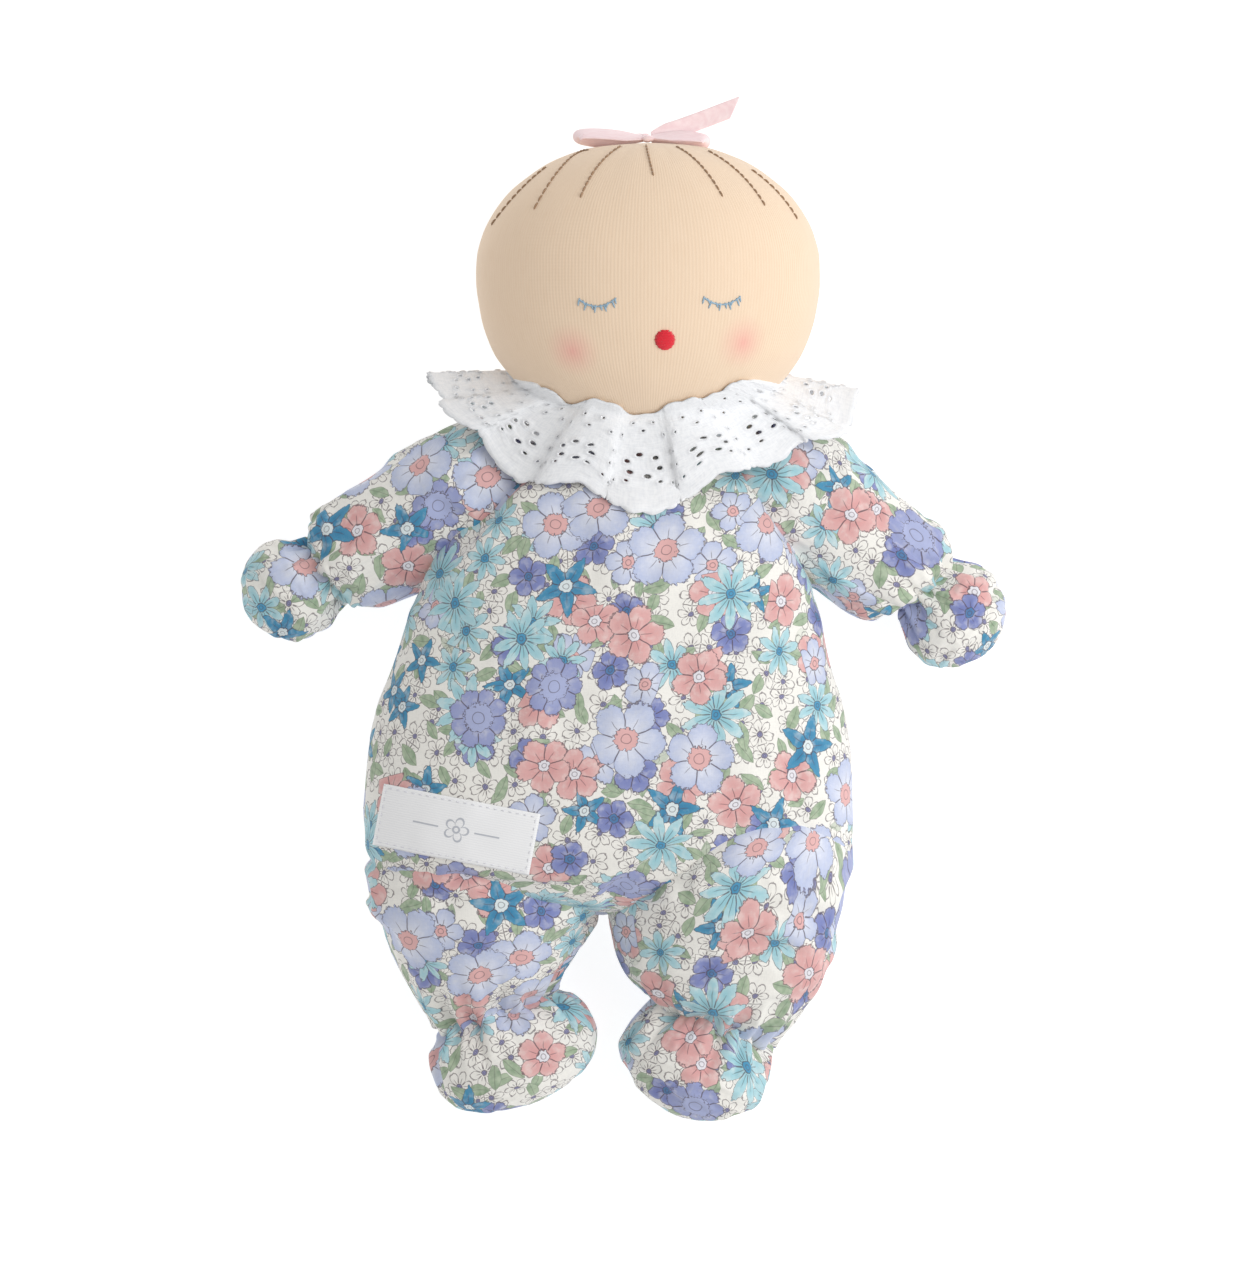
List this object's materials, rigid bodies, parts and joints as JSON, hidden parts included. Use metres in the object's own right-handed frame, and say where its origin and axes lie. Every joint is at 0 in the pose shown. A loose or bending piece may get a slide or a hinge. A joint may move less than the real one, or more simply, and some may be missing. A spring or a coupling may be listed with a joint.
{
  "type": "soft baby doll",
  "caption": "Soft stuffed cloth baby doll in a floral romper, with a knit head, sleeping stitched face, ruffled eyelet collar and ribbon bow.",
  "frame": {"origin": "centre of the flat patch of the back that the doll lies on", "axes": "+Z out of the face and tummy, +Y towards the crown, +X to the doll's own left; the doll lies on its back on z = 0"},
  "size_m": [0.2297, 0.3053, 0.0809],
  "materials": {
    "floral_cotton": "matt plain-weave cotton with a small garden-flower print",
    "skin_knit": "matt fine-ribbed cotton stockinette",
    "eyelet_lace": "white cotton eyelet embroidery",
    "satin_ribbon": "soft satin",
    "hair_thread": "stranded embroidery thread",
    "eye_thread": "stranded embroidery thread",
    "mouth_thread": "satin-stitched thread",
    "fibre_fill": "matt polyester fibre",
    "rattle_plastic": "moulded, lightly textured",
    "rattle_bead": "polished",
    "tag_tape": "woven satin tape",
    "gather_thread": "plain sewing thread"
  },
  "bodies": {
    "torso": {"torso_front_panel": "floral_cotton", "torso_back_panel": "floral_cotton", "torso_fill_front": "fibre_fill", "torso_fill_back": "fibre_fill", "rattle_shell_front": "rattle_plastic", "rattle_shell_back": "rattle_plastic", "side_tag": "tag_tape", "collar_ruffle": "eyelet_lace", "collar_neckband": "eyelet_lace"},
    "neck": {"neck_fill": "fibre_fill"},
    "head": {"head_front_panel": "skin_knit", "head_back_panel": "skin_knit", "head_fill": "fibre_fill", "left_eye_stitching": "eye_thread", "right_eye_stitching": "eye_thread", "mouth_stitching": "mouth_thread", "hair_strand_1": "hair_thread", "hair_strand_2": "hair_thread", "hair_strand_3": "hair_thread", "hair_strand_4": "hair_thread", "hair_strand_5": "hair_thread", "hair_strand_6": "hair_thread", "hair_strand_7": "hair_thread", "bow_knot": "satin_ribbon", "bow_loop_left": "satin_ribbon", "bow_loop_right": "satin_ribbon", "bow_tail_left": "satin_ribbon", "bow_tail_right": "satin_ribbon"},
    "left_shoulder": {"left_shoulder_pad": "fibre_fill"},
    "left_arm": {"left_arm_cover": "floral_cotton", "left_arm_fill": "fibre_fill", "left_wrist_thread": "gather_thread"},
    "left_hand": {"left_hand_cover": "floral_cotton", "left_hand_fill": "fibre_fill"},
    "left_hip": {"left_hip_pad": "fibre_fill"},
    "left_leg": {"left_leg_cover": "floral_cotton", "left_leg_fill": "fibre_fill", "left_ankle_thread": "gather_thread"},
    "left_foot": {"left_foot_cover": "floral_cotton", "left_foot_fill": "fibre_fill"},
    "right_shoulder": {"right_shoulder_pad": "fibre_fill"},
    "right_arm": {"right_arm_cover": "floral_cotton", "right_arm_fill": "fibre_fill", "right_wrist_thread": "gather_thread"},
    "right_hand": {"right_hand_cover": "floral_cotton", "right_hand_fill": "fibre_fill"},
    "right_hip": {"right_hip_pad": "fibre_fill"},
    "right_leg": {"right_leg_cover": "floral_cotton", "right_leg_fill": "fibre_fill", "right_ankle_thread": "gather_thread"},
    "right_foot": {"right_foot_cover": "floral_cotton", "right_foot_fill": "fibre_fill"},
    "rattle_bead_1": {"rattle_bead_1": "rattle_bead"},
    "rattle_bead_2": {"rattle_bead_2": "rattle_bead"},
    "rattle_bead_3": {"rattle_bead_3": "rattle_bead"}
  },
  "joints": [
    {"name": "head_turn", "type": "hinge", "parent": "torso", "child": "neck", "pos_m": [0.01, 0.108, 0.036], "axis": [0, 1, 0], "range_deg": [-45, 45], "stiffness_Nm_per_rad": 0.05},
    {"name": "head_nod", "type": "hinge", "parent": "neck", "child": "head", "pos_m": [0.01, 0.108, 0.036], "axis": [1, 0, 0], "range_deg": [-12, 6], "stiffness_Nm_per_rad": 0.05},
    {"name": "left_arm_forward", "type": "hinge", "parent": "torso", "child": "left_shoulder", "pos_m": [0.056, 0.09, 0.028], "axis": [0, -1, 0], "range_deg": [0, 45], "stiffness_Nm_per_rad": 0.02},
    {"name": "left_arm_raise", "type": "hinge", "parent": "left_shoulder", "child": "left_arm", "pos_m": [0.056, 0.09, 0.028], "axis": [0, 0, 1], "range_deg": [0, 35], "stiffness_Nm_per_rad": 0.02},
    {"name": "left_wrist_bend", "type": "hinge", "parent": "left_arm", "child": "left_hand", "pos_m": [0.094, 0.0606, 0.016], "axis": [0, 0, 1], "range_deg": [-25, 25], "stiffness_Nm_per_rad": 0.005},
    {"name": "left_leg_fold", "type": "hinge", "parent": "torso", "child": "left_hip", "pos_m": [0.0365, -0.028, 0.028], "axis": [-1, 0, 0], "range_deg": [0, 58], "stiffness_Nm_per_rad": 0.03},
    {"name": "left_leg_spread", "type": "hinge", "parent": "left_hip", "child": "left_leg", "pos_m": [0.0365, -0.028, 0.028], "axis": [0, 0, 1], "range_deg": [0, 15], "stiffness_Nm_per_rad": 0.03},
    {"name": "left_ankle_bend", "type": "hinge", "parent": "left_leg", "child": "left_foot", "pos_m": [0.0315, -0.0695, 0.017], "axis": [-1, 0, 0], "range_deg": [-12, 12], "stiffness_Nm_per_rad": 0.008},
    {"name": "right_arm_forward", "type": "hinge", "parent": "torso", "child": "right_shoulder", "pos_m": [-0.042, 0.09, 0.028], "axis": [0, 1, 0], "range_deg": [0, 45], "stiffness_Nm_per_rad": 0.02},
    {"name": "right_arm_raise", "type": "hinge", "parent": "right_shoulder", "child": "right_arm", "pos_m": [-0.042, 0.09, 0.028], "axis": [0, 0, -1], "range_deg": [0, 35], "stiffness_Nm_per_rad": 0.02},
    {"name": "right_wrist_bend", "type": "hinge", "parent": "right_arm", "child": "right_hand", "pos_m": [-0.0846, 0.0669, 0.016], "axis": [0, 0, -1], "range_deg": [-25, 25], "stiffness_Nm_per_rad": 0.005},
    {"name": "right_leg_fold", "type": "hinge", "parent": "torso", "child": "right_hip", "pos_m": [-0.036, -0.028, 0.028], "axis": [-1, 0, 0], "range_deg": [0, 58], "stiffness_Nm_per_rad": 0.03},
    {"name": "right_leg_spread", "type": "hinge", "parent": "right_hip", "child": "right_leg", "pos_m": [-0.036, -0.028, 0.028], "axis": [0, 0, -1], "range_deg": [0, 15], "stiffness_Nm_per_rad": 0.03},
    {"name": "right_ankle_bend", "type": "hinge", "parent": "right_leg", "child": "right_foot", "pos_m": [-0.0335, -0.066, 0.017], "axis": [-1, 0, 0], "range_deg": [-12, 12], "stiffness_Nm_per_rad": 0.008},
    {"name": "rattle_bead_1_slide", "type": "slide", "parent": "torso", "child": "rattle_bead_1", "axis": [1, 0, 0], "range_m": [-0.008, 0.008]},
    {"name": "rattle_bead_2_slide", "type": "slide", "parent": "torso", "child": "rattle_bead_2", "axis": [1, 0, 0], "range_m": [-0.008, 0.008]},
    {"name": "rattle_bead_3_slide", "type": "slide", "parent": "torso", "child": "rattle_bead_3", "axis": [1, 0, 0], "range_m": [-0.008, 0.008]}
  ]
}
